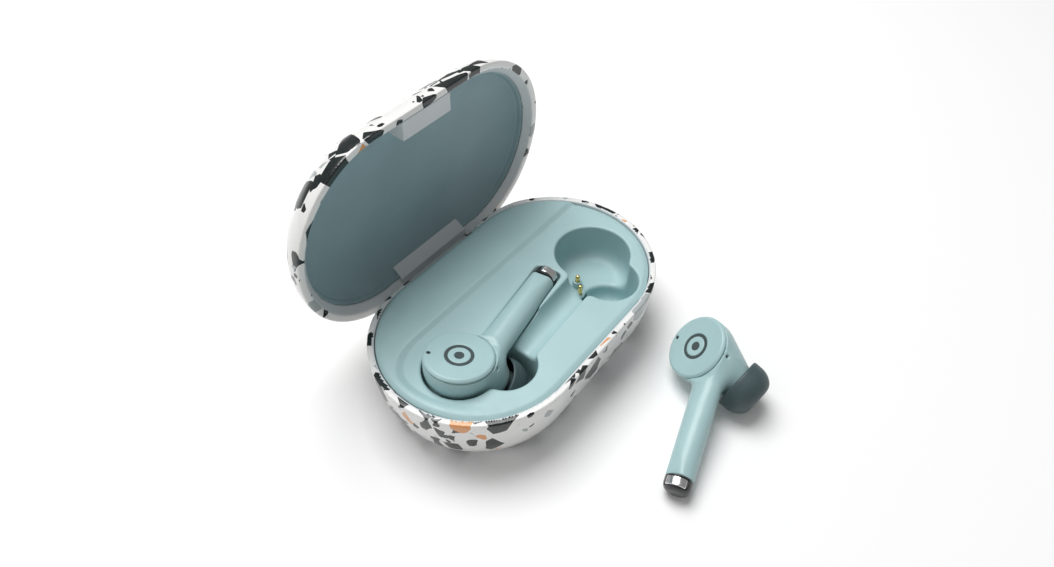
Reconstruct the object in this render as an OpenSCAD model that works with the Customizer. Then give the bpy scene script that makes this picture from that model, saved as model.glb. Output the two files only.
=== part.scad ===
// Charging case for two stem earbuds: a flat oval box with a hinged lid. The left bud sits in its
// well and the right bud lies in front of the case. Origin: centre of the flat bottom, +Z up.

/* [Case] */
// Length of the case
case_l = 66; // [65:0.5:68]
// Width of the case
case_w = 41.7; // [41.5:0.1:43]
// Height of the base
base_h = 14.6; // [14.6:0.1:16]
// Height of the closed lid
lid_h = 8.2; // [8.2:0.1:10]
// Width of the flat rim
rim_w = 1.33; // [1.3:0.01:1.4]
// Floor thickness of both outer shells
floor_t = 1.2; // [1:0.05:1.2]

/* [Hinge] */
// Angle of the open lid
lid_open = 87.5; // [60:0.5:90]
// Distance of the hinge axis behind the centre
axis_y = 18.74; // [18.6:0.01:18.8]
// Depth of the hinge axis below the rim
axis_drop = 2.91; // [2.85:0.01:2.95]
// Width of the hinge block
hinge_w = 19.2; // [18:0.2:20]

/* [Earbud] */
// Diameter of the face disc
disc_d = 13.2; // [13:0.1:13.4]
// Radius of the stem
stem_r = 2.6; // [2.4:0.05:2.65]
// Reach of the stem from the centre of the disc
stem_reach = 29.3; // [28:0.1:29.6]
// Tilt of the face disc against the stem
disc_tilt = 10; // [6:1:12]
// Radius of the ear tip
ear_r = 5.2; // [4.8:0.1:5.3]

/* [Tray] */
// Rise of the rear ledge above the rim
ledge_h = 0.7; // [0.3:0.1:0.7]
// Thickness of the tray
tray_t = 1; // [0.8:0.1:1]
// Radius of a head well
well_r = 7.9; // [7.8:0.05:8]
// Radius of an ear tip pocket
lobe_r = 5.85; // [5.75:0.05:5.9]

/* [Hidden] */
$fn = 64;
end_r = case_w / 2;              // radius of the round ends
end_x = case_l / 2 - end_r;      // distance of their centres from the middle
well_wall = 0.75;                // wall of the wells
well_low = -9.1;                 // underside of a head well, from the rim
lobe_drop = 3.5;                 // how much deeper the ear tip pocket is
base_side = 5.8;                 // how far the base draws in from rim to bottom
lid_side = 8.2;                  // how far the lid draws in from rim to top
lid_gap = 0.05;                  // gap between the closed rims
steps = 10;                      // straight steps round an oval side
rise = base_h - axis_drop;       // height of the hinge axis
barrel_r = 1.5;                  // hinge barrel
pin_r = 0.6;                     // hinge pin
bore_play = 0.05;                // running clearance of the hinge
arm_in = 0.85;                   // hinge arm's inner face, behind the axis
relief_r = axis_drop - 0.06;     // round rear edge of the base, about the axis
lip_in = 3.03;                   // how far the lid's lip leads in
lip_h = 1.8;                     // height of the lip
dish_c = 6.25;                   // middle of the liner's hollow, from the case's middle line
dish_x = 12.12;                  // half axes of the liner's hollow
dish_z = 6.05;
liner_t = 0.7;                   // liner thickness
latch_w = 12.2;                  // latch block
latch_in = 15.6;
boss_in = 15.8;                  // top of the hinge block's sloping face, and its heights
boss_low = 0.9;
boss_high = 4;

seat_h = 3.1;                    // seated disc centre above the rim
stem_y = 2.7;                    // stem axis beside and under the disc centre
stem_z = -3.7;
cheek = [1.6, 2.6, -5.7];        // middle of the inner cheek
cheek_r = 4.4;
nozzle_root = [1.6, 2.6, -4.9];
nozzle_turn = [44.3, 56.6];      // nozzle direction: tilt from -Z, and heading
skin = 0.9;                      // bud wall
pads = [[3.2, -1.2, -8.2], [4.6, 0.4, -9.1]];
mic = [-2.4, -5];                // microphone hole on the disc

left_place = [-20, -2.5];        // well centres and stem headings
left_turn = 9;
right_place = [19.3, -4.5];
right_turn = 183;
loose_place = [14.9, -32.45, 8.98];
loose_turn = [40.4, 10.9, -164.5];

plunger_r = 0.45;                // charge contact
flange_r = 0.66;
guide_r = 0.75;                  // bore in the contact block
boss_top = [-6.6, -8.55];        // tops of the bosses round the two contacts
block_top = -9.15;
block_low = -12.9;

// Quarter of an oval from angle a0 to 90, centred on [cx, 0], half axes a and b.
function oval(cx, a, b, a0 = 0) =
    [for (i = [0:steps]) let (t = a0 + (90 - a0) * i / steps) [cx + a * cos(t), b * sin(t)]];

// Solid with the plan of the case and the side profile pts, given as [distance, height].
module sweep(pts) {
    for (s = [-1, 1]) translate([s * end_x, 0, 0]) rotate_extrude($fn = 96) polygon(pts);
    along(2 * end_x) for (s = [0, 1]) mirror([s, 0]) polygon(pts);
}

// Extrusion of a [y, z] outline along X, centred.
module along(w) rotate([90, 0, 90]) linear_extrude(w, center = true) children();

// Solid of the base, r_in and z_in smaller than its outside, open upwards to height up.
module base_form(r_in, z_in, up = 0) sweep(concat([[0, up], [end_r - r_in, up]],
    [for (p = oval(end_r - base_side, base_side - r_in, base_h - z_in)) [p[0], -p[1]]],
    [[0, z_in - base_h]]));

// Solid of the lid, r_in and z_in smaller than its outside.
module lid_form(r_in, z_in) sweep(concat([[0, 0]],
    oval(end_r - lid_side, lid_side - r_in, lid_h - z_in), [[0, lid_h - z_in]]));

// The open space inside the closed lid: a lip that leads in, then a dish.
module lid_space(gap = 0) {
    sweep([[0, 0], [end_r - rim_w - gap, 0], [end_r - lip_in - gap, lip_h], [0, lip_h]]);
    sweep(concat([[0, 0], [end_r - lip_in - gap, 0]],
        oval(dish_c, dish_x - gap, dish_z - gap, asin(lip_h / dish_z)),
        [[0, dish_z - gap]]));
}

module at_rim() translate([0, 0, base_h]) children();

// Turns a piece drawn on the closed lid, heights from the rim, to the open lid.
module opened() translate([0, axis_y, rise]) rotate([-lid_open, 0, 0])
    translate([0, -axis_y, axis_drop + lid_gap]) children();

// Frames of the seated left bud, the two wells and the loose right bud. In all of them the stem
// runs along +X, the nozzle leans to +Y and the face looks along +Z.
module left_well() translate([left_place[0], left_place[1], 0]) rotate([0, 0, left_turn])
    mirror([0, 1, 0]) children();
module right_well() translate([right_place[0], right_place[1], 0]) rotate([0, 0, right_turn])
    children();
module left_bud() at_rim() translate([0, 0, seat_h]) left_well() children();
module right_bud() translate(loose_place) rotate(loose_turn) children();
module tilted() rotate([0, disc_tilt, 0]) children();
module nozzle_frame(root = nozzle_root) translate(root) rotate([0, 0, nozzle_turn[1]])
    rotate([0, 180 - nozzle_turn[0], 0]) children();

// ---- case base ----

module bar_x(r, x0, x1) translate([x0, 0, 0]) rotate([0, 90, 0]) cylinder(r = r, h = x1 - x0);

post_places = [[6.3, 11.5], [-6.3, 11.5], [6.3, -11], [-6.3, -11]];
board_low = -6.9;
port_z = -8.6;

module base_shell() color("white") at_rim() difference() {
    union() {
        difference() {
            base_form(0, 0);
            base_form(rim_w, floor_t, 1);
        }
        for (p = post_places) translate([p[0], p[1], 1.4 - base_h])
            cylinder(r = 1.3, h = base_h - 1.4 + board_low);
        intersection() {
            base_form(0, 0);
            for (s = [-1, 1]) translate([s * (hinge_w / 2 + 1.6), axis_y, -axis_drop])
                bar_x(1.7, -1.35, 1.35);
        }
    }
    // rounded rear edge, so that the lid's rear rim can swing past
    difference() {
        translate([-24, axis_y, -axis_drop]) cube([48, 5, 5]);
        translate([0, axis_y, -axis_drop]) bar_x(relief_r, -25, 25);
    }
    // gap for the hinge arm
    translate([-hinge_w / 2 - 0.25, 16, -axis_drop - 2.4]) cube([hinge_w + 0.5, 6, 6]);
    translate([0, axis_y, -axis_drop]) bar_x(pin_r, -hinge_w / 2 - 2.7, hinge_w / 2 + 2.7);
    // charging port
    translate([0, 20, port_z]) rotate([90, 0, 0]) {
        for (s = [-1, 1]) translate([s * 2.85, 0, 0]) cylinder(r = 1.85, h = 8);
        translate([-2.85, -1.85, 0]) cube([5.7, 3.7, 8]);
    }
    for (p = post_places) translate([p[0], p[1], board_low - 3]) cylinder(r = 0.6, h = 5);
}

// One well: head, ear tip pocket and stem channel. low is the head part's lowest level.
module well_form(grow, low) {
    half = stem_r + 0.25 + grow;
    reach = stem_reach + 0.6 + grow;
    translate([0, 0.1, low]) cylinder(r = well_r + grow, h = 20);
    translate([4.5, 7, low - lobe_drop]) cylinder(r = lobe_r + grow, h = 20);
    translate([0, stem_y, seat_h + stem_z]) {
        bar_x(half, 0, reach);
        translate([0, -half, 0]) cube([reach, 2 * half, 20]);
    }
}

module pin_bosses() for (i = [0, 1]) translate([pads[i][0], pads[i][1], block_top + 0.1])
    cylinder(r = 1.05, h = boss_top[i] - block_top - 0.1);

// Room under the tray for a contact block, and the holes for its plungers.
module block_space() {
    for (p = pads) translate([p[0], p[1], -12]) cylinder(r = plunger_r + 0.05, h = 8);
    block_form(0.03, block_top);
}

module block_form(grow, top) translate([1.9 - grow, -2.8 - grow, block_low - grow])
    cube([4.2 + 2 * grow, 4.1 + 2 * grow, top - block_low + grow]);

module tray() color("powderblue") at_rim() difference() {
    union() {
        intersection() {
            sweep([[0, -3], [end_r - rim_w - 0.12, -3], [end_r - rim_w - 0.12, -0.1],
                [end_r - rim_w - 0.95, 0.8], [0, 0.8]]);
            along(case_l) polygon([[-end_r, -0.1], [7, -0.1], [8.8, ledge_h - 0.1],
                [axis_y + 0.56, ledge_h], [axis_y + 0.56, ledge_h - tray_t - 0.1],
                [8.8, ledge_h - 0.1 - tray_t], [7.1, -0.1 - tray_t], [-end_r, -0.1 - tray_t]]);
        }
        intersection() {
            translate([0, 0, -0.5]) mirror([0, 0, 1]) linear_extrude(13) square(80, center = true);
            base_form(rim_w + 0.12, floor_t + 0.12);
            union() {
                left_well() well_form(well_wall, well_low);
                right_well() well_form(well_wall, well_low);
            }
        }
    }
    difference() {
        intersection() {
            base_form(rim_w + 0.12 + well_wall, floor_t + 0.12 + well_wall, 3);
            union() {
                left_well() well_form(0, well_low + well_wall);
                right_well() well_form(0, well_low + well_wall);
            }
        }
        left_well() pin_bosses();
        right_well() pin_bosses();
    }
    left_well() block_space();
    right_well() block_space();
}

module battery() color("silver") at_rim() translate([-7.4, -9.3, -12.9]) cube([15, 18.6, 5.4]);

module charging_board() color("darkgreen") at_rim() difference() {
    translate([-7.8, -12.6, board_low]) cube([15.8, 26.4, 0.8]);
    for (p = post_places) translate([p[0], p[1], board_low - 1]) cylinder(r = 0.7, h = 3);
}

module board_chips() color("dimgray") at_rim() translate([0, 0, board_low + 0.8]) {
    translate([-4, -1, 0]) cube([4, 4, 0.9]);
    translate([2, -6, 0]) cube([3, 3, 0.8]);
    translate([1.5, 5, 0]) cube([2.5, 2, 0.7]);
    translate([-5, -8, 0]) cube([2, 1.2, 0.6]);
}

module usb_socket() color("silver") at_rim() translate([0, 17.4, port_z]) rotate([90, 0, 0])
    difference() {
        union() {
            for (s = [-1, 1]) translate([s * 2.87, 0, 0]) cylinder(r = 1.6, h = 7);
            translate([-2.87, -1.6, 0]) cube([5.74, 3.2, 7]);
        }
        difference() {
            translate([0, 0, -1]) union() {
                for (s = [-1, 1]) translate([s * 2.87, 0, 0]) cylinder(r = 1.3, h = 7);
                translate([-2.87, -1.3, 0]) cube([5.74, 2.6, 7]);
            }
            translate([-3.3, -0.35, 0.6]) cube([6.6, 0.7, 7]);
        }
    }

module board_screws() color("gray") at_rim() for (p = post_places)
    translate([p[0], p[1], board_low - 2.9]) {
        cylinder(r = 0.6, h = 3.7);
        translate([0, 0, 3.7]) cylinder(r = 1.1, h = 0.6);
    }

module hinge_pin() color("silver") translate([0, axis_y, rise])
    bar_x(pin_r, -hinge_w / 2 - 2.6, hinge_w / 2 + 2.6);

module hinge_spring() color("dimgray") translate([0, axis_y, rise]) rotate([0, 90, 0])
    rotate_extrude($fn = 32) for (i = [-5:5]) translate([1, i * 0.44]) circle(r = 0.24, $fn = 16);

module base_magnet() color("silver") at_rim() translate([-4, -17.5, -3.8]) cube([8, 2.2, 2.6]);

module well_magnet() translate([-2, -1.6, block_top - 1.5]) cylinder(r = 2.3, h = 1.5);
module well_magnet_left() color("silver") at_rim() left_well() well_magnet();
module well_magnet_right() color("silver") at_rim() right_well() well_magnet();

module contact_block() difference() {
    block_form(0, block_top);
    for (p = pads) translate([p[0], p[1], block_low + 0.4]) cylinder(r = guide_r, h = 5);
}
module contact_block_left() color("black") at_rim() left_well() contact_block();
module contact_block_right() color("black") at_rim() right_well() contact_block();

// Strip from a contact block at x_block, up beside the battery to the board's edge at x_board.
module contact_flex(x_block, x_board, y) {
    s = sign(x_board - x_block);
    at_rim() translate([0, y, 0]) rotate([90, 0, 0]) linear_extrude(2) {
        translate([min(x_block, x_board - s * 0.5), -11.2])
            square([abs(x_board - x_block) - 0.5, 0.2]);
        translate([x_board - s * 0.6 - 0.1, -11.2]) square([0.2, 5]);
        translate([min(x_board, x_board - s * 0.6), -6.4]) square([0.6, 0.2]);
    }
}
module contact_flex_left() color("darkorange") contact_flex(-13.4, -7.8, 0.9);
module contact_flex_right() color("darkorange") contact_flex(12.9, 8, -2);

module contact_pin(i) translate([pads[i][0], pads[i][1], seat_h + pads[i][2] - 0.05]) {
    length = seat_h + pads[i][2] - 0.05 - (block_top - 1.05);
    rotate_extrude($fn = 32) polygon([[0, 0], [0.25, -0.05], [plunger_r, -0.3],
        [plunger_r, 0.5 - length], [flange_r, 0.5 - length], [flange_r, -length], [0, -length]]);
}
module contact_pin_left_a() color("gold") at_rim() left_well() contact_pin(0);
module contact_pin_left_b() color("gold") at_rim() left_well() contact_pin(1);
module contact_pin_right_a() color("gold") at_rim() right_well() contact_pin(0);
module contact_pin_right_b() color("gold") at_rim() right_well() contact_pin(1);

module contact_spring(i) translate([pads[i][0], pads[i][1], block_low + 0.4])
    rotate_extrude($fn = 24) for (k = [0:9]) translate([0.5, 0.12 + k * 0.228])
        circle(r = 0.12, $fn = 16);
module contact_spring_left_a() color("silver") at_rim() left_well() contact_spring(0);
module contact_spring_left_b() color("silver") at_rim() left_well() contact_spring(1);
module contact_spring_right_a() color("silver") at_rim() right_well() contact_spring(0);
module contact_spring_right_b() color("silver") at_rim() right_well() contact_spring(1);

// ---- lid ----

module lid_shell() color("white") opened() difference() {
    lid_form(0, 0);
    lid_space();
    intersection() {
        lid_form(rim_w, floor_t);
        translate([0, 0, lip_h]) linear_extrude(20) square(80, center = true);
    }
    translate([-hinge_w / 2 - 0.03, boss_in, -1]) cube([hinge_w + 0.06, 10, lip_h + 1]);
}

module lid_liner() color("cadetblue") opened() difference() {
    intersection() {
        sweep(concat([[0, 0]], oval(dish_c, dish_x + liner_t, dish_z + liner_t),
            [[0, dish_z + liner_t]]));
        translate([0, 0, lip_h + 0.02]) linear_extrude(20) square(80, center = true);
    }
    lid_space();
}

module hinge_block() color("lightgray") opened() difference() {
    union() {
        // block inside the lid
        intersection() {
            along(hinge_w) polygon([[end_r - lip_in - 0.2, boss_low], [boss_in, boss_high],
                [end_r - lip_in, boss_high], [end_r - lip_in, boss_low]]);
            lid_space(0.02);
        }
        // plate through the lid's rear wall
        intersection() {
            lid_form(0, 0);
            union() {
                translate([-hinge_w / 2, end_r - lip_in - 0.1, boss_low])
                    cube([hinge_w, 6, lip_h - boss_low - 0.02]);
                translate([-hinge_w / 2, axis_y + arm_in, 0]) cube([hinge_w, 6, lip_h - 0.02]);
            }
        }
        // arm below the rim
        intersection() {
            base_form(0, 0);
            translate([-hinge_w / 2, axis_y + arm_in, -axis_drop - 1.2])
                cube([hinge_w, 6, axis_drop + 1.2]);
        }
        translate([0, axis_y, -axis_drop - lid_gap]) bar_x(barrel_r, -hinge_w / 2, hinge_w / 2);
    }
    translate([0, axis_y, -axis_drop - lid_gap]) {
        bar_x(pin_r + bore_play, -hinge_w / 2 - 1, hinge_w / 2 + 1);
        bar_x(barrel_r - 0.12, -2.9, 2.9);
        translate([-2.9, -3, -3]) cube([5.8, 3, 6]);
    }
}

magnet_y = -17.6;
module lid_magnet() color("silver") opened() translate([-4, magnet_y, 0.5]) cube([8, 1.7, 1.4]);

module latch_block() color("lightgray") opened() difference() {
    intersection() {
        translate([-latch_w / 2, -end_r, 0.02]) cube([latch_w, end_r - latch_in, 6]);
        lid_space(0.02);
    }
    translate([-4, magnet_y, 0.5]) cube([8, 1.7, 1.4]);
}

// ---- earbud pieces, each drawn in the bud's own frame ----

disc_r = disc_d / 2;
neck_r = 2.3;
neck_end = 8.6;

module face_disc() color("powderblue") tilted() difference() {
    rotate_extrude($fn = 96) polygon([[0, -skin], [disc_r, -skin], [disc_r, -0.3],
        [disc_r - 0.1, -0.1], [disc_r - 0.3, 0], [0, 0]]);
    translate([0, 0, -0.25]) mark_form();
    translate([mic[0], mic[1], -2]) cylinder(r = 0.4, h = 4, $fn = 24);
}

// Plain ring round a dot.
module mark_form() {
    difference() {
        cylinder(r = 2.7, h = 0.4);
        translate([0, 0, -1]) cylinder(r = 2.1, h = 3);
    }
    cylinder(r = 0.9, h = 0.4);
}
module face_mark() color("darkslategray") tilted() intersection() {
    translate([0, 0, -0.25]) mark_form();
    translate([-5, -5, -0.25]) cube([10, 10, 0.25]);
}

module mic_mesh() color("black") tilted() translate([mic[0], mic[1], -0.8])
    cylinder(r = 0.4, h = 0.4, $fn = 24);

module head_form(w) tilted() rotate_extrude($fn = 96) polygon([[0, -skin], [disc_r - w, -skin],
    [disc_r - w, -2], [disc_r - 0.3 - w, -3.8 + w * 0.2], [disc_r - 1 - w, -5.4 + w * 0.4],
    [disc_r - 2.2 - w, -6.8 + w * 0.7], [disc_r - 4 - w, -7.7 + w * 0.9], [0, -8 + w]]);

module pad_form(i) translate([pads[i][0], pads[i][1], pads[i][2]]) cylinder(r = 0.8, h = 0.9);

module housing() color("powderblue") difference() {
    union() {
        head_form(0);
        translate(cheek) sphere(r = cheek_r);
        nozzle_frame() cylinder(r1 = 4.4, r2 = 3.3, h = 5.2);
        nozzle_frame() cylinder(r = neck_r, h = neck_end);
        translate([0, stem_y, stem_z]) bar_x(stem_r, 3, stem_reach - 2.7);
    }
    head_form(skin);
    translate(cheek) sphere(r = cheek_r - skin);
    nozzle_frame() cylinder(r = 1.4, h = 12);
    nozzle_frame() translate([0, 0, neck_end - 0.35]) cylinder(r = 1.9, h = 2);
    translate([0, stem_y, stem_z]) bar_x(stem_r - 0.7, 3, stem_reach);
    tilted() translate([0, 0, -skin]) cylinder(r = disc_r, h = 5);
    pad_form(0);
    pad_form(1);
}

module charge_pads() color("gold") {
    pad_form(0);
    pad_form(1);
}

module plate_form(r) intersection() {
    translate([0, stem_y, stem_z]) bar_x(r, stem_reach - 2.4, stem_reach - 0.7);
    translate([stem_reach - 3, stem_y - 1.9, stem_z + 1]) cube([3, 3.8, 3]);
}

module stem_cap() color("dimgray") difference() {
    translate([stem_reach - 2.7, stem_y, stem_z]) rotate([0, 90, 0]) rotate_extrude()
        polygon([[0, 0], [stem_r, 0], [stem_r, 1.7], [stem_r - 0.2, 2.2], [stem_r - 0.7, 2.6],
            [stem_r - 1.2, 2.7], [0, 2.7]]);
    plate_form(stem_r + 1);
}

module stem_plate() color("silver") plate_form(stem_r);

module nozzle_mesh() color("gray") nozzle_frame() translate([0, 0, neck_end - 0.35])
    cylinder(r = 1.9, h = 0.3);

module ear_tip() color("darkslategray") nozzle_frame() rotate_extrude($fn = 96) polygon(concat(
    [[neck_r, 5.4], [2.9, 5.4], [2.9, 8.6]],
    [for (i = [steps:-1:0]) let (t = 90 * i / steps)
        [2.9 + (ear_r - 3.3) * cos(t), 6.2 + 2.6 * sin(t)]],
    [[ear_r - 0.5, 4.7], [ear_r - 0.1, 4.6], [ear_r, 5.2]],
    [for (i = [0:steps]) let (t = 90 * i / steps)
        [neck_r + (ear_r - neck_r) * cos(t), 6.2 + 3.7 * sin(t)]]));

module driver() color("silver") nozzle_frame(cheek) translate([0, 0, -0.6])
    cylinder(r = 2.6, h = 1.8);

module cell() color("silver") tilted() translate([0, 0, -2.55]) cylinder(r = 4.7, h = 1.4);

module bud_board() color("darkgreen") translate([6, stem_y - 1.5, stem_z - 0.3])
    cube([19, 3, 0.6]);

base_shell();
tray();
battery();
charging_board();
board_chips();
usb_socket();
board_screws();
hinge_pin();
hinge_spring();
base_magnet();
well_magnet_left();
well_magnet_right();
contact_block_left();
contact_block_right();
contact_flex_left();
contact_flex_right();
contact_pin_left_a();
contact_pin_left_b();
contact_pin_right_a();
contact_pin_right_b();
contact_spring_left_a();
contact_spring_left_b();
contact_spring_right_a();
contact_spring_right_b();
lid_shell();
lid_liner();
hinge_block();
latch_block();
lid_magnet();
left_bud() face_disc();  // left_face_disc
left_bud() face_mark();  // left_face_mark
left_bud() housing();  // left_housing
left_bud() stem_cap();  // left_stem_cap
left_bud() stem_plate();  // left_stem_plate
left_bud() nozzle_mesh();  // left_nozzle_mesh
left_bud() ear_tip();  // left_ear_tip
left_bud() driver();  // left_driver
left_bud() cell();  // left_cell
left_bud() bud_board();  // left_bud_board
left_bud() charge_pads();  // left_charge_pads
left_bud() mic_mesh();  // left_mic_mesh
right_bud() face_disc();  // right_face_disc
right_bud() face_mark();  // right_face_mark
right_bud() housing();  // right_housing
right_bud() stem_cap();  // right_stem_cap
right_bud() stem_plate();  // right_stem_plate
right_bud() nozzle_mesh();  // right_nozzle_mesh
right_bud() ear_tip();  // right_ear_tip
right_bud() driver();  // right_driver
right_bud() cell();  // right_cell
right_bud() bud_board();  // right_bud_board
right_bud() charge_pads();  // right_charge_pads
right_bud() mic_mesh();  // right_mic_mesh
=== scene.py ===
"""Looks for the earbuds case: detailed shells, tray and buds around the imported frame."""
import math
import bpy
import numpy as np
from mathutils import Matrix, Vector


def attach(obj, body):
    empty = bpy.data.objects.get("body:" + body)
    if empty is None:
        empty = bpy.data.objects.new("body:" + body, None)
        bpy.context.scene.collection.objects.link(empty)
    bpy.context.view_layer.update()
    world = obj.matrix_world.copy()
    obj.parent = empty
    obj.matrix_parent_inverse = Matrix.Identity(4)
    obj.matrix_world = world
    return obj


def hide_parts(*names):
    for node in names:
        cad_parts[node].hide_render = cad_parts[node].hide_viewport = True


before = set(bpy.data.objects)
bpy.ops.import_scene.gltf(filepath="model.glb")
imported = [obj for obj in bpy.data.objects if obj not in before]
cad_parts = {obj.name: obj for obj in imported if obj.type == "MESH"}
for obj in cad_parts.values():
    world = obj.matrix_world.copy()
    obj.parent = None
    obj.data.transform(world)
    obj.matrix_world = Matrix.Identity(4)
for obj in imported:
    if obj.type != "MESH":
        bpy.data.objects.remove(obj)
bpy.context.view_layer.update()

# Sizes in mm. Forms of the case are measured from the rim, forms of a bud from its disc's centre.
MM = 0.001
END_X = 12.15                  # distance of the round ends' centres from the middle
RIM = 14.6                     # height of the base's rim
RIM_W = 1.33                   # width of the flat rim
FLOOR_T = 1.2                  # floor of both outer shells
GAP = 0.12                     # between the tray's wells and the shell
BASE_C, BASE_A = 15.05, 5.8    # where the base's side starts to draw in, and by how much
LID_C, LID_A, LID_H = 12.65, 8.2, 8.2
AXIS_Y, AXIS_Z = 18.74, 11.69  # hinge axis
AXIS_DROP = 2.91               # depth of the hinge axis below the rim
LIP_H = 1.8                    # height of the lid's lip
DISH_C, DISH_A, DISH_B = 6.25, 12.12, 6.05    # hollow of the liner
LINER_T = 0.7
TRAY_R = 19.4                  # edge of the tray, from the case's middle line
WELL_WALL = 0.75
SEAT = 3.1                     # height of a seated disc over the rim
DISC_R = 6.6
STEM_Y, STEM_Z, STEM_R = 2.7, -3.7, 2.6
STEM_END, CAP_END = 26.56, 29.3
MIC = (-2.4, -5.0)             # microphone hole on the disc
CONTACTS = ((3.2, -1.2), (4.6, 0.4))          # charge contacts of a well, pads of a bud


def turn(angle, axis):
    return Matrix.Rotation(math.radians(angle), 4, axis)


def shift(x, y, z):
    return Matrix.Translation((x, y, z))


FLIP_Y = Matrix.Diagonal((1, -1, 1, 1))
LEFT_WELL = shift(-20, -2.5, RIM) @ turn(9, "Z") @ FLIP_Y
RIGHT_WELL = shift(19.3, -4.5, RIM) @ turn(183, "Z")
LEFT_BUD = LEFT_WELL @ shift(0, 0, SEAT)
RIGHT_BUD = shift(14.9, -32.45, 8.98) @ turn(-164.5, "Z") @ turn(10.9, "Y") @ turn(40.4, "X")
LID = shift(0, AXIS_Y, AXIS_Z) @ turn(-87.5, "X") @ shift(0, -AXIS_Y, 2.96)
NOZZLE = shift(1.6, 2.6, -4.9) @ turn(56.6, "Z") @ turn(180 - 44.3, "Y")
HEAD = turn(10, "Y")

# ---- materials ----


class Nodes:
    """A material's node tree, with a Principled shader to plug things into."""

    def __init__(self, name, rough=0.4, metal=0.0, ior=1.47, coat=0.0, coat_rough=0.1):
        self.mat = bpy.data.materials.new(name)
        self.mat.use_nodes = True
        self.tree = self.mat.node_tree
        self.shader = self.tree.nodes["Principled BSDF"]
        self.set(self.shader, {"Roughness": rough, "Metallic": metal, "IOR": ior,
                               "Coat Weight": coat, "Coat Roughness": coat_rough})
        self.coords = self.tree.nodes.new("ShaderNodeTexCoord").outputs["Object"]

    def set(self, node, inputs):
        for key, value in inputs.items():
            if isinstance(value, bpy.types.NodeSocket):
                self.tree.links.new(value, node.inputs[key])
            else:
                node.inputs[key].default_value = value

    def add(self, kind, inputs=(), out=0, **props):
        node = self.tree.nodes.new("ShaderNode" + kind)
        for key, value in props.items():
            setattr(node, key, value)
        self.set(node, dict(inputs))
        return node.outputs[out]

    def math(self, how, a, b=0.0):
        return self.add("Math", {0: a, 1: b}, operation=how)

    def place(self, scale, rotation=(0, 0, 0), offset=(0, 0, 0)):
        return self.add("Mapping", {"Vector": self.coords, "Scale": scale,
                                    "Rotation": rotation, "Location": offset})

    def noise(self, per_mm, detail=3.0):
        return self.add("TexNoise", {"Vector": self.coords, "Scale": per_mm * 1000,
                                     "Detail": detail})

    def between(self, value, low, high, at=(0.35, 0.65)):
        return self.add("MapRange", {"Value": value, "From Min": at[0], "From Max": at[1],
                                     "To Min": low, "To Max": high})

    def mix(self, factor, a, b):
        node = self.tree.nodes.new("ShaderNodeMix")
        node.data_type = "RGBA"
        for index, value in ((0, factor), (6, a), (7, b)):
            if isinstance(value, bpy.types.NodeSocket):
                self.tree.links.new(value, node.inputs[index])
            else:
                node.inputs[index].default_value = value
        return node.outputs[2]

    def bump(self, height, strength, distance):
        normal = self.add("Bump", {"Height": height, "Strength": strength, "Distance": distance})
        self.set(self.shader, {"Normal": normal})


def colour(r, g, b):
    """An sRGB colour given as 0 to 255, made linear."""
    return tuple((v / 12.92 if v < 0.04045 else ((v + 0.055) / 1.055) ** 2.4)
                 for v in (r / 255, g / 255, b / 255)) + (1.0,)


def shade(c, by):
    return tuple(min(v * by, 1.0) for v in c[:3]) + (1.0,)


def moulded(name, base, rough, grain=9.0, depth=0.006, drift=0.05, **more):
    """Moulded plastic or rubber: slight colour drift, an uneven gloss and a fine grain."""
    m = Nodes(name, rough, **more)
    broad = m.noise(0.12, 2.0)
    m.set(m.shader, {
        "Base Color": m.mix(m.between(broad, 0.0, 1.0), shade(base, 1 - drift),
                            shade(base, 1 + drift)),
        "Roughness": m.between(m.noise(0.6, 4.0), rough * 0.88, min(rough * 1.12, 1.0))})
    m.bump(m.noise(grain, 2.0), 0.35, depth * MM)
    return m.mat


def metal(name, base, rough, streak=(1, 1, 1)):
    """Plated or brushed metal, whose fine lines streak scales along each axis."""
    m = Nodes(name, rough, 1.0)
    lines = m.add("TexNoise", {"Vector": m.place(streak), "Scale": 4000.0, "Detail": 3.0})
    m.set(m.shader, {
        "Base Color": m.mix(m.between(m.noise(0.5), 0.0, 1.0), shade(base, 0.92), base),
        "Roughness": m.between(lines, rough * 0.7, rough * 1.4)})
    m.bump(lines, 0.15, 0.004 * MM)
    return m.mat


def chips(m, cell, share, gap, seed, spread):
    """Stone chips: angular cells of about that size in mm. Gives their mask and a random value."""
    at = m.place((1, 1.25, 0.9), (0.5 + seed, 0.35, 0.8 * seed), (seed * 0.013, seed * 0.007, 0))
    wobble = m.add("TexNoise", {"Vector": at, "Scale": 900 / cell, "Detail": 1.0}, 1)
    at = m.add("VectorMath", {0: at, 1: m.add("VectorMath", {0: wobble, 1: (cell * 0.22 * MM,) * 3},
                                              operation="MULTIPLY")}, operation="ADD")
    settings = {"Vector": at, "Scale": 1000 / cell, "Randomness": 1.0}
    edge = m.add("TexVoronoi", settings, feature="DISTANCE_TO_EDGE")
    randoms = m.add("SeparateColor", {"Color": m.add("TexVoronoi", settings, 1)}).node.outputs
    limit = m.math("MULTIPLY_ADD", randoms[1], spread)
    limit.node.inputs[2].default_value = gap
    inner = m.math("GREATER_THAN", edge, limit)
    return m.math("MULTIPLY", inner, m.math("LESS_THAN", randoms[0], share)), randoms[2]


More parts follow.
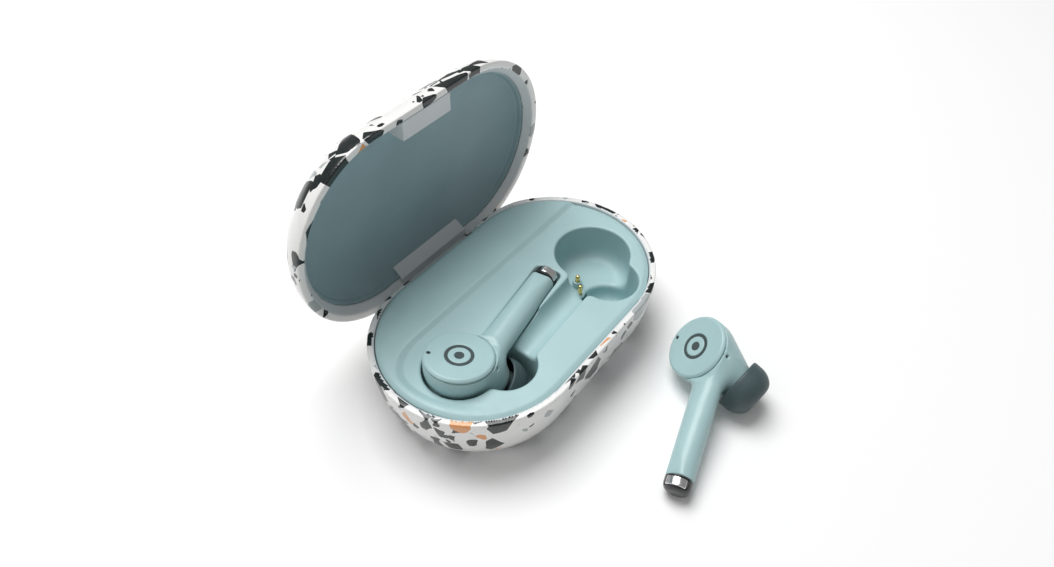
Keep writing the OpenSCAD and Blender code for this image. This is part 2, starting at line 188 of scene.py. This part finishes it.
def terrazzo():
    """Glossy white with angular dark green, grey and orange chips of three sizes."""
    m = Nodes("terrazzo", 0.24, coat=0.25, coat_rough=0.06)
    white, dark = colour(238, 238, 236), colour(12, 24, 24)
    grey, peach = colour(170, 176, 176), colour(222, 156, 100)
    mottle = m.between(m.noise(0.35, 4.0), 0.0, 1.0)
    surface = m.mix(mottle, shade(white, 0.97), white)
    for cell, share, gap, seed, spread in ((1.7, 0.14, 0.06, 3, 0.12), (3.2, 0.26, 0.05, 2, 0.16),
                                           (4.8, 0.33, 0.04, 11, 0.16)):
        mask, kind = chips(m, cell, share, gap, seed, spread)
        ramp = m.tree.nodes.new("ShaderNodeValToRGB")
        ramp.color_ramp.interpolation = "CONSTANT"
        stops = ramp.color_ramp.elements
        stops[0].color = dark
        stops[1].position, stops[1].color = 0.94, peach
        stops.new(0.82).color = grey
        m.set(ramp, {"Fac": kind})
        cloud = m.between(m.noise(1.4, 4.0), 0.0, 1.0)
        stone = m.mix(m.math("MULTIPLY", cloud, 0.012), ramp.outputs[0], shade(white, 0.8))
        surface = m.mix(mask, surface, stone)
    m.set(m.shader, {"Base Color": surface,
                     "Roughness": m.between(m.noise(0.8), 0.18, 0.27)})
    m.bump(m.noise(0.25, 1.0), 0.06, 0.02 * MM)
    return m.mat


def circuit():
    """Green solder resist over tracks, with gold pads."""
    m = Nodes("circuit", 0.45, coat=0.3)
    pads = m.add("TexVoronoi", {"Vector": m.coords, "Scale": 1300.0, "Randomness": 0.35})
    tracks = m.add("TexWave", {"Vector": m.coords, "Scale": 900.0, "Distortion": 2.0})
    green = m.mix(m.between(tracks, 0.0, 1.0, (0.45, 0.55)), colour(18, 66, 44), colour(24, 88, 58))
    m.set(m.shader, {"Base Color": m.mix(m.math("LESS_THAN", pads, 0.16), green,
                                         colour(196, 168, 96))})
    m.bump(tracks, 0.2, 0.01 * MM)
    return m.mat


def foil():
    """Creased wrap of the battery."""
    m = Nodes("battery_foil", 0.32, 1.0)
    creases = m.noise(0.7, 5.0)
    m.set(m.shader, {"Base Color": m.mix(m.between(creases, 0, 1), colour(176, 180, 184),
                                         colour(206, 209, 212)),
                     "Roughness": m.between(creases, 0.25, 0.42)})
    m.bump(creases, 0.4, 0.05 * MM)
    return m.mat


MINT = colour(166, 196, 198)
# moulded: colour, roughness, grains per mm, depth of the grain in mm, drift of the colour
MATS = {
    "terrazzo_shell": terrazzo(),
    "mint_tray": moulded("mint_tray", MINT, 0.42, 7.0, 0.005, 0.025),
    # the liner's colour is the tray's mint darkened: painted shade for the inside of the open lid
    "mint_liner": moulded("mint_liner", colour(140, 165, 171), 0.5, 6.0, 0.008, 0.03),
    "mint_bud": moulded("mint_bud", MINT, 0.34, 8.0, 0.004, 0.025),
    "grey_frame": moulded("grey_frame", colour(214, 218, 220), 0.38, 7.0, 0.005, 0.02),
    "mark_grey": moulded("mark_grey", colour(70, 80, 82), 0.3, 6.0, 0.004, 0.06),
    "cap_dark": moulded("cap_dark", colour(40, 41, 43), 0.3, 6.0, 0.006, 0.08, coat=0.3),
    "chrome_plate": metal("chrome", (0.86, 0.86, 0.87, 1), 0.17, (0.1, 1, 1)),
    "silicone_dark": moulded("silicone_dark", colour(64, 80, 83), 0.48, 5.0, 0.008, 0.08),
    "gold_contact": metal("gold", (0.83, 0.60, 0.22, 1), 0.18),
    "steel": metal("steel", (0.56, 0.57, 0.58, 1), 0.28, (0.1, 1, 1)),
    "magnet_plating": metal("magnet_plating", (0.62, 0.62, 0.63, 1), 0.22),
    "battery_foil": foil(),
    "circuit_board": circuit(),
    "chip_black": moulded("chip_black", colour(34, 35, 37), 0.4, 4.0, 0.01, 0.1),
    "flex_film": moulded("flex_film", colour(196, 122, 44), 0.3, 3.0, 0.01, 0.08, coat=0.4),
}

# ---- meshing ----


def length(*parts):
    return np.sqrt(sum(p * p for p in parts))


def soft_min(a, b, k):
    h = np.clip(0.5 + 0.5 * (b - a) / k, 0, 1)
    return b + (a - b) * h - k * h * (1 - h)


def soft_max(a, b, k):
    return -soft_min(-a, -b, k)


def moved(matrix, x, y, z):
    """The points in the frame of matrix."""
    i = np.array(matrix.inverted())
    return tuple(i[r][0] * x + i[r][1] * y + i[r][2] * z + i[r][3] for r in range(3))


def box_form(x, y, z, low, high, k=0.2):
    """Distance from a box with edges rounded by about k."""
    parts = []
    for v, a, b in zip((x, y, z), low, high):
        parts.append(np.abs(v - (a + b) / 2) - (b - a) / 2 + k)
    outside = length(*[np.maximum(p, 0) for p in parts])
    return outside + np.minimum(np.maximum.reduce(np.broadcast_arrays(*parts)), 0) - k


def net(field, low, pitch):
    """Surface net over a grid of distances: points and quads of its zero level."""
    shape = np.array(field.shape) - 1
    corners = []
    for i in (0, 1):
        for j in (0, 1):
            for k in (0, 1):
                corners.append(field[i:i + shape[0], j:j + shape[1], k:k + shape[2]])
    count = sum((c < 0).astype(np.int8) for c in corners)
    cells = np.argwhere((count > 0) & (count < 8))
    index = np.full(shape, -1)
    index[tuple(cells.T)] = np.arange(len(cells))
    values = np.stack([c[tuple(cells.T)] for c in corners], 1)
    places = np.array([(i, j, k) for i in (0, 1) for j in (0, 1) for k in (0, 1)], float)
    total, hits = np.zeros((len(cells), 3)), np.zeros(len(cells))
    for a in range(8):
        for b in range(a + 1, 8):
            if abs(places[a] - places[b]).sum() != 1:
                continue
            va, vb = values[:, a], values[:, b]
            cross = (va < 0) != (vb < 0)
            t = va / np.where(cross, va - vb, 1)
            total += np.where(cross[:, None], places[a] + t[:, None] * (places[b] - places[a]), 0)
            hits += cross
    points = low + (cells + total / hits[:, None]) * pitch
    quads = []
    for axis in range(3):
        u, v = (axis + 1) % 3, (axis + 2) % 3
        here = np.moveaxis(field, axis, 0)
        flips = np.moveaxis((here[:-1] < 0) != (here[1:] < 0), 0, axis)
        spots = np.argwhere(flips)
        spots = spots[(spots[:, u] > 0) & (spots[:, v] > 0)
                      & (spots[:, u] < shape[u]) & (spots[:, v] < shape[v])]
        ring = []
        for du, dv in ((1, 1), (0, 1), (0, 0), (1, 0)):
            cell = spots.copy()
            cell[:, u] -= du
            cell[:, v] -= dv
            ring.append(index[tuple(cell.T)])
        ring = np.stack(ring, 1)
        outward = field[tuple(spots.T)] < 0
        ring[~outward] = ring[~outward][:, ::-1]
        quads.append(ring)
    quads = np.concatenate(quads)
    return points, quads[(quads >= 0).all(1)]


def mesh_object(name, points, faces, matrix, body, slots, pick=None, replaces=()):
    """A smooth mesh from points in mm, set into the row frame by matrix. pick gives faces slots."""
    m = np.array(matrix)
    world = (points @ m[:3, :3].T + m[:3, 3]) * MM
    if np.linalg.det(m[:3, :3]) < 0:
        faces = [f[::-1] for f in faces] if isinstance(faces, list) else faces[:, ::-1]
    data = bpy.data.meshes.new(name)
    data.from_pydata(world.tolist(), [], [list(map(int, f)) for f in faces])
    for s in slots:
        data.materials.append(MATS[s])
    if pick is not None:
        middle = np.array([points[list(f)].mean(0) for f in faces]) \
            if isinstance(faces, list) else points[faces].mean(1)
        data.polygons.foreach_set("material_index", np.asarray(pick(middle), np.int32))
    data.shade_smooth()
    data.update()
    obj = bpy.data.objects.new(name, data)
    bpy.context.scene.collection.objects.link(obj)
    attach(obj, body)
    if replaces:
        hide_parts(*replaces)
    return obj


def carve(name, form, low, high, pitch, matrix, body, slots, **more):
    """A piece from a distance function in mm: net, then points drawn onto the true surface."""
    low, high = np.array(low, float), np.array(high, float)
    axes = [np.arange(a, b + pitch, pitch) for a, b in zip(low, high)]
    x, y, z = np.meshgrid(*axes, indexing="ij", sparse=True)
    field = np.broadcast_to(form(x, y, z), [len(a) for a in axes]).astype(float)
    points, quads = net(field, low, pitch)
    for _ in range(3):
        p = points.T
        d = form(*p)
        step = 0.01
        slope = np.stack([(form(*(p + step * e[:, None])) - form(*(p - step * e[:, None])))
                          / (2 * step) for e in np.eye(3)], 1)
        size = np.maximum((slope ** 2).sum(1), 0.05)
        points = points - slope * np.clip(d / size, -pitch / 2, pitch / 2)[:, None]
    return mesh_object(name, points, quads, matrix, body, slots, **more)


def lathe(name, profile, matrix, body, slots, sides=96, **more):
    """A turned piece: a closed [radius, height] outline about the frame's Z axis."""
    profile = np.array(profile, float)
    n = len(profile)
    angles = np.arange(sides) * 2 * math.pi / sides
    points = np.stack([np.outer(np.cos(angles), profile[:, 0]),
                       np.outer(np.sin(angles), profile[:, 0]),
                       np.tile(profile[:, 1], (sides, 1))], 2).reshape(-1, 3)
    faces = [(i * n + j, i * n + (j + 1) % n, (i + 1) % sides * n + (j + 1) % n,
              (i + 1) % sides * n + j) for i in range(sides) for j in range(n)
             if profile[j][0] > 1e-6 or profile[(j + 1) % n][0] > 1e-6]
    obj = mesh_object(name, points, faces, matrix, body, slots, **more)
    weld = obj.modifiers.new("weld", "WELD")
    weld.merge_threshold = 1e-7
    return obj


def arc(cx, cy, rx, ry, a0, a1, steps=10):
    """Points of an oval arc from angle a0 to a1."""
    return [(cx + rx * math.cos(math.radians(a0 + (a1 - a0) * i / steps)),
             cy + ry * math.sin(math.radians(a0 + (a1 - a0) * i / steps))) for i in range(steps + 1)]

# ---- case forms, heights from the rim ----


def plan(x, y):
    """Distance from the case's middle line in plan."""
    return length(np.maximum(np.abs(x) - END_X, 0), y)


def bowl(r, depth, start, a, b):
    """Distance from a side that curves in as a quarter ellipse from the rim."""
    q, w = np.maximum(r - start, 0) / a, np.maximum(depth, 0) / b
    e = length(q, w) + 1e-6
    g = length(q / a, w / b) / e
    return np.maximum((e - 1) / (g + 1e-4), -b)


def screw_posts(x, y, z):
    """Four bored posts under the charging board."""
    posts = []
    for px in (-6.3, 6.3):
        for py in (-11, 11.5):
            around = length(x - px, y - py)
            post = np.maximum(around - 1.3, np.maximum(z + 6.9, -13.3 - z))
            posts.append(np.maximum(post, 0.62 - around))
    return posts


def base_shell(x, y, z):
    """Outer shell of the base, with its screw posts, hinge ears, hinge notch and port."""
    r = plan(x, y)
    outer = bowl(r, -z, BASE_C, BASE_A, RIM)
    inner = bowl(r, -z, BASE_C, BASE_A - RIM_W, RIM - FLOOR_T)
    wall = soft_max(outer, -inner, 0.12)
    for post in screw_posts(x, y, z):
        wall = soft_min(wall, post, 0.3)
    from_axis = length(y - AXIS_Y, z + AXIS_DROP)
    ears = np.abs(np.abs(x) - 11.2) - 1.35
    ears = soft_max(ears, from_axis - 1.7, 0.2)
    ears = np.maximum(ears, 0.66 - from_axis)
    wall = soft_min(wall, np.maximum(ears, outer), 0.15)
    wall = soft_max(wall, z, 0.15)
    relief = np.maximum(np.maximum(AXIS_Y - y, np.abs(x) - 24), -AXIS_DROP - z)
    relief = soft_max(relief, 2.85 - from_axis, 0.1)
    wall = soft_max(wall, -relief, 0.25)
    notch = box_form(x, y, z, (-9.85, 16, -5.31), (9.85, 24, 3), 0.1)
    wall = soft_max(wall, -notch, 0.2)
    port = length(np.maximum(np.abs(x) - 2.85, 0), z + 8.6) - 1.85
    port = np.maximum(port, 12 - y)
    return soft_max(wall, -port, 0.35)


def tray_cavity(x, y, z, well, head_r):
    """The hollow of one well: head bowl, ear tip pocket and stem channel."""
    x, y, z = moved(shift(0, 0, -RIM) @ well, x, y, z)
    head = soft_max(length(x, y - 0.1) - head_r, -8.35 - z, 3.2)
    pocket = soft_max(length(x - 4.5, y - 7) - 5.85, -11.85 - z, 2.6)
    bar = length(y - STEM_Y, z - SEAT - STEM_Z)
    side = np.where(z > SEAT + STEM_Z, np.abs(y - STEM_Y), bar) - 2.85
    channel = soft_max(soft_max(side, x - 29.9, 1.4), -x, 0.2)
    return soft_min(soft_min(head, pocket, 1.0), channel, 1.6)


def deck_height(x, y):
    """The tray's top: a flat front and a rear ledge, which fades as it rounds the left end."""
    inward = np.where(x < 0, plan(x, y), y) - 9.1
    fade = np.clip((y + 13) / 9, 0, 1)
    rise = np.interp(soft_max(y, inward, 6), [7.4, 7.5, 8.5, 8.9, 19.3],
                     [0, 0.02, 0.55, 0.62, 0.8])
    return fade * rise - 0.1


def deck(x, y, z):
    """The tray's top plate, 1 mm thick, with two bevels along its edge."""
    r = plan(x, y)
    top = deck_height(x, y)
    slab = soft_max(z - top, top - 1 - z, 0.2)
    slab = soft_max(slab, r - TRAY_R, 0.25)
    slab = soft_max(slab, ((r - 18.5) * 0.55 + (z - top)) / 1.14, 0.15)
    slab = soft_max(slab, ((r - TRAY_R) * 0.9 + (z + 0.1) * 0.83) / 1.23, 0.2)
    return np.maximum(slab, y - 19.3)


def tray(x, y, z):
    """The tray: its deck, the two wells under it, and a boss round each charge contact."""
    hollow = soft_min(tray_cavity(x, y, z, LEFT_WELL, 7.3),
                      tray_cavity(x, y, z, RIGHT_WELL, 7.9), 0.8)
    room = bowl(plan(x, y), -z, BASE_C, BASE_A - RIM_W - GAP, RIM - FLOOR_T - GAP)
    skin = np.interp(z, [-6.5, -4.5], [WELL_WALL, 1.6])
    pots = soft_max(np.maximum(hollow - skin, z + 0.5), room, 0.1)
    form = soft_min(deck(x, y, z), pots, 0.3)
    form = soft_max(form, -soft_max(hollow, room + WELL_WALL, 0.8), 0.4)
    for well in (LEFT_WELL, RIGHT_WELL):
        u, v, w = moved(shift(0, 0, -RIM) @ well, x, y, z)
        for (px, py), boss_top in zip(CONTACTS, (-6.6, -8.55)):
            around = length(u - px, v - py)
            boss = soft_max(around - 1.05, np.maximum(w - boss_top, -9.05 - w), 0.25)
            form = soft_min(form, boss, 0.4)
            form = np.maximum(form, 0.5 - around)
        block = box_form(u, v, w, (1.87, -2.83, -13), (6.13, 1.33, -9.15), 0.02)
        form = np.maximum(form, -np.maximum(block, 0.3 - hollow))
    return form


def lid_shell(x, y, z):
    """Outer shell of the lid: its inner wall leads in along a lip, and the liner fills the rest."""
    r = plan(x, y)
    outer = bowl(r, z, LID_C, LID_A, LID_H)
    lip = soft_max(((r - 19.52) * 1.8 + z * 1.7) / 2.48, z - LIP_H, 0.05)
    dish = bowl(r, z, DISH_C, DISH_A, DISH_B)
    inner = np.maximum(bowl(r, z, LID_C, LID_A - RIM_W, LID_H - FLOOR_T), LIP_H - z)
    form = soft_max(outer, -z, 0.15)
    form = soft_max(form, -lip, 0.3)
    form = soft_max(form, -np.maximum(dish, -0.5 - z), 0.2)
    form = soft_max(form, -inner, 0.1)
    notch = box_form(x, y, z, (-9.63, 15.8, -3), (9.63, 24, 1.8), 0.05)
    return soft_max(form, -notch, 0.2)


def lid_liner(x, y, z):
    """The dished liner, with a fine groove round its flat middle."""
    r = plan(x, y)
    dish = bowl(r, z, DISH_C, DISH_A, DISH_B)
    outer = bowl(r, z, DISH_C, DISH_A + LINER_T, DISH_B + LINER_T)
    form = soft_max(outer, -dish, 0.05)
    form = np.maximum(form, LIP_H + 0.02 - z)
    groove = np.abs(r - 17.3) - 0.12
    return soft_max(form, -soft_max(groove, np.abs(dish) - 0.12, 0.05), 0.06)

# ---- earbud forms ----

HEAD_DEPTH = 6.5      # how far the head reaches behind the disc's seat
FULLNESS = 2.4        # 2 would be an ellipse
PLATE_TURN = 28       # angle from the stem's top to the contact plate


def bud_solid(x, y, z):
    """The housing's outside: head, cheek, nozzle and stem run into each other.

    Gives its distance, and the point's distance from the nozzle's axis and height along it."""
    u, v, w = moved(HEAD, x, y, z)
    q, depth = length(u, v) / DISC_R, np.maximum(-1.5 - w, 0) / HEAD_DEPTH
    e = (q ** FULLNESS + depth ** FULLNESS) ** (1 / FULLNESS) + 1e-6
    g = length((q / e) ** (FULLNESS - 1) / DISC_R, (depth / e) ** (FULLNESS - 1) / HEAD_DEPTH)
    head = np.maximum((e - 1) / (g + 1e-4), -6)
    cheek = length(x - 1.6, y - 2.6, z + 5.7) - 4.4
    a, b, c = moved(NOZZLE, x, y, z)
    ring = length(a, b)
    cone = soft_max((ring - 4.4 + c * 0.21), np.maximum(c - 5.2, -2 - c), 0.8)
    neck = soft_max(ring - 2.28, np.maximum(c - 8.6, -c), 0.3)
    wide = np.interp(x, [4, 12, 27], [3.15, 2.8, STEM_R])
    high = np.interp(x, [4, 12, 27], [2.3, 2.5, STEM_R])
    stem = length((y - STEM_Y) * high / wide, z - STEM_Z) - high
    stem = np.maximum(stem, np.maximum(2 - x, x - STEM_END))
    form = soft_min(soft_min(head, cheek, 2.0), cone, 2.2)
    form = soft_min(form, stem, 1.9)
    form = soft_max(form, w - np.interp(x, [6.2, 12], [-0.5, 3.0]), 0.4)
    form = soft_max(form, x - STEM_END, 0.12)
    side_port = np.maximum(length((x - 1.9) - (y - 6.9) * 0.27, z + 1.9) - 0.34, 6.1 - y)
    form = np.maximum(form, -side_port)
    return soft_min(form, neck, 0.4), ring, c


def housing(x, y, z):
    """The housing as a shell, open at the disc's seat, the nozzle and the stem's end."""
    form, ring, c = bud_solid(x, y, z)
    form = np.maximum(form, -(form + 0.85))
    u, v, w = moved(HEAD, x, y, z)
    seat = np.maximum(length(u, v) - 6.68, -0.95 - w)
    form = soft_max(form, -seat, 0.12)
    form = np.maximum(form, -np.maximum(length(u, v) - 5.6, -2.5 - w))
    form = np.maximum(form, -np.maximum(ring - 1.4, -c))
    form = np.maximum(form, -np.maximum(ring - 1.9, 8.25 - c))
    form = np.maximum(form, -np.maximum(length(y - STEM_Y, z - STEM_Z) - 1.9, 6 - x))
    for (px, py), pz in zip(CONTACTS, (-8.2, -9.1)):
        form = np.maximum(form, -np.maximum(length(x - px, y - py) - 0.8,
                                            np.abs(z - pz - 0.4) - 0.5))
    return form


def face_disc(x, y, z):
    """The disc with its bevel, the microphone hole and the bed of the inlaid mark."""
    r = length(x, y)
    form = soft_max(r - DISC_R, np.maximum(z, -0.9 - z), 0.45)
    form = soft_max(form, (r - DISC_R + z + 0.42) / 1.41, 0.1)
    hole = soft_max(length(x - MIC[0], y - MIC[1]) - 0.4, -z - 2, 0.1)
    form = soft_max(form, -hole, 0.12)
    ring = np.abs(r - 2.4) - 0.3
    mark = np.maximum(np.minimum(ring, r - 0.9), -0.25 - z)
    return np.maximum(form, -mark)


# Outline of the ear tip: the dome, the open skirt and the sleeve on the nozzle.
TIP = (arc(2.32, 6.2, 2.88, 3.7, 90, 0, 14)
       + [(5.2, 5.2), (5.19, 4.95), (5.12, 4.74), (5.0, 4.62), (4.86, 4.6), (4.74, 4.66)]
       + [(4.7, 4.8), (4.74, 5.4)] + arc(2.9, 6.2, 1.86, 2.6, 0, 90, 10)[1:]
       + [(2.9, 8.4), (2.9, 5.5), (2.84, 5.4), (2.36, 5.4), (2.32, 5.5)])


def about_stem(y, z):
    """Points turned back about the stem's axis, so that the plate sits off the top."""
    c, s = math.cos(math.radians(PLATE_TURN)), math.sin(math.radians(PLATE_TURN))
    y, z = y - STEM_Y, z - STEM_Z
    return y * c - z * s + STEM_Y, y * s + z * c + STEM_Z


def stem_cap(x, y, z):
    """The cap on the stem's end, with a bed for the plate."""
    r = length(y - STEM_Y, z - STEM_Z)
    y, z = about_stem(y, z)
    form = soft_max(r - STEM_R, np.maximum(STEM_END + 0.04 - x, x - CAP_END), 0.12)
    form = soft_max(form, (r + (x - CAP_END) - 1.7) / 1.41, 0.5)
    slot = box_form(x, y, z, (26.88, 0.78, -2.7), (28.62, 4.62, 2), 0.1)
    return np.maximum(form, -slot)


def stem_plate(x, y, z):
    """The contact plate, flush with the cap."""
    r = length(y - STEM_Y, z - STEM_Z)
    y, z = about_stem(y, z)
    plate = box_form(x, y, z, (26.92, 0.84, -2.68), (28.58, 4.56, 2), 0.25)
    return soft_max(r - STEM_R, plate, 0.15)

# ---- pieces ----


# Both shells are stone outside and on the rim, and grey on the inner wall.
at_rim = shift(0, 0, RIM)
carve("base_outer", base_shell, (-34, -22, -15.2), (34, 22, 0.8), 0.32, at_rim, "case_base",
      ["terrazzo_shell", "grey_frame"], replaces=["base_shell"],
      pick=lambda p: bowl(plan(p[:, 0], p[:, 1]), -p[:, 2], BASE_C, BASE_A - 1, 13.7) < 0)
carve("tray_moulding", tray, (-20.4 - END_X, -20.4, -13.6), (20.4 + END_X, 20.2, 1.4), 0.25,
      at_rim, "case_base", ["mint_tray"], replaces=["tray"])
carve("lid_outer", lid_shell, (-34, -22, -0.8), (34, 22, 9), 0.3, LID, "lid",
      ["terrazzo_shell", "grey_frame"], replaces=["lid_shell"],
      pick=lambda p: (plan(p[:, 0], p[:, 1]) < 19.45 - 0.5 * p[:, 2]) & (p[:, 2] < 6.9))
carve("lid_lining", lid_liner, (-32, -20, 1), (32, 20, 7.5), 0.3, LID, "lid", ["mint_liner"],
      replaces=["lid_liner"])

for side, bud in (("left", LEFT_BUD), ("right", RIGHT_BUD)):
    body = side + "_bud"
    carve(side + "_shell", housing, (-8, -8, -16), (28, 13, 1), 0.22, bud, body, ["mint_bud"],
          replaces=[side + "_housing"])
    carve(side + "_disc", face_disc, (-7.2, -7.2, -1.4), (7.2, 7.2, 0.5), 0.16, bud @ HEAD, body,
          ["mint_bud"], replaces=[side + "_face_disc"])
    carve(side + "_cap", stem_cap, (26, -0.6, -7), (29.8, 6, -0.6), 0.12, bud, body,
          ["cap_dark"], replaces=[side + "_stem_cap"])
    carve(side + "_plate", stem_plate, (26.5, 0.4, -4.4), (29, 5.8, -0.6), 0.1, bud, body,
          ["chrome_plate"], replaces=[side + "_stem_plate"])
    lathe(side + "_tip", TIP, bud @ NOZZLE, body, ["silicone_dark"],
          replaces=[side + "_ear_tip"])
    lathe(side + "_side_mesh", [(0, 0), (0.33, 0), (0.33, 0.3), (0.25, 0.36), (0, 0.38)],
          bud @ shift(1.75, 6.15, -1.9) @ turn(-90, "X"), body, ["chip_black"], sides=24)

SLOT_OF = {
    "battery": "battery_foil", "charging_board": "circuit_board", "board_chips": "chip_black",
    "usb_socket": "steel", "board_screws": "steel", "hinge_pin": "steel", "hinge_spring": "steel",
    "hinge_block": "grey_frame", "latch_block": "grey_frame", "driver": "steel", "cell": "steel",
    "bud_board": "circuit_board", "nozzle_mesh": "steel", "face_mark": "mark_grey",
    "mic_mesh": "chip_black", "charge_pads": "gold_contact"}


def slot_of(node):
    """The finish of a CAD node that is shown as it is."""
    for start, slot in (("contact_pin", "gold_contact"), ("contact_spring", "steel"),
                        ("contact_block", "chip_black"), ("contact_flex", "flex_film")):
        if node.startswith(start):
            return slot
    if "magnet" in node:
        return "magnet_plating"
    return SLOT_OF[node.replace("left_", "").replace("right_", "")]


for node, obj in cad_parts.items():
    if obj.hide_render:
        continue
    obj.data.materials.clear()
    obj.data.materials.append(MATS[slot_of(node)])
    if node in ("hinge_block", "latch_block"):
        bevel = obj.modifiers.new("bevel", "BEVEL")
        bevel.width = 0.15 * MM
        bevel.segments = 3
        bevel.limit_method = "ANGLE"
        bevel.angle_limit = math.radians(40)

# ---- floor, light, camera ----

bpy.ops.mesh.primitive_plane_add(size=6)
floor = bpy.context.object
floor.name = "floor"
floor_nodes = Nodes("floor", 0.6)
pale = floor_nodes.mix(floor_nodes.noise(0.004), (0.89, 0.89, 0.89, 1), (0.91, 0.91, 0.91, 1))
floor_nodes.set(floor_nodes.shader, {
    "Base Color": pale, "Specular IOR Level": 0.1,
    "Emission Color": (1, 1, 1, 1), "Emission Strength": 0.03})
floor.data.materials.append(floor_nodes.mat)


def area_light(name, direction, distance, size, power):
    """A square lamp that looks at the case from that direction."""
    data = bpy.data.lights.new(name, "AREA")
    data.size = size
    data.energy = power
    lamp = bpy.data.objects.new(name, data)
    toward = Vector(direction).normalized()
    lamp.location = Vector((0, -0.01, 0.01)) + toward * distance
    lamp.rotation_euler = toward.to_track_quat("Z", "Y").to_euler()
    bpy.context.scene.collection.objects.link(lamp)


area_light("key", (0.1, 0.36, 1.0), distance=0.75, size=0.5, power=5.7)
area_light("fill", (-0.9, 0.2, 0.9), distance=0.9, size=0.5, power=0.6)
world = bpy.data.worlds.new("studio")
world.use_nodes = True
background = world.node_tree.nodes["Background"]
background.inputs["Color"].default_value = (1, 1, 1, 1)
background.inputs["Strength"].default_value = 0.26
bpy.context.scene.world = world
bpy.context.scene.view_settings.view_transform = "Standard"

camera_data = bpy.data.cameras.new("camera")
camera_data.lens = 25.92
camera_data.sensor_width = 36
camera_data.clip_start = 0.005
camera = bpy.data.objects.new("camera", camera_data)
# The camera's right and up in the row frame, solved from the rims and edges of the case.
right, up = Vector((0.6152, -0.7884, 0)), Vector((0.5714, 0.4458, 0.6892))
look = Matrix((right, up, right.cross(up))).transposed().to_4x4()
camera.matrix_world = Matrix.Translation(Vector((-79.09, -64.0, 125.08)) * MM) @ look
bpy.context.scene.collection.objects.link(camera)
bpy.context.scene.camera = camera
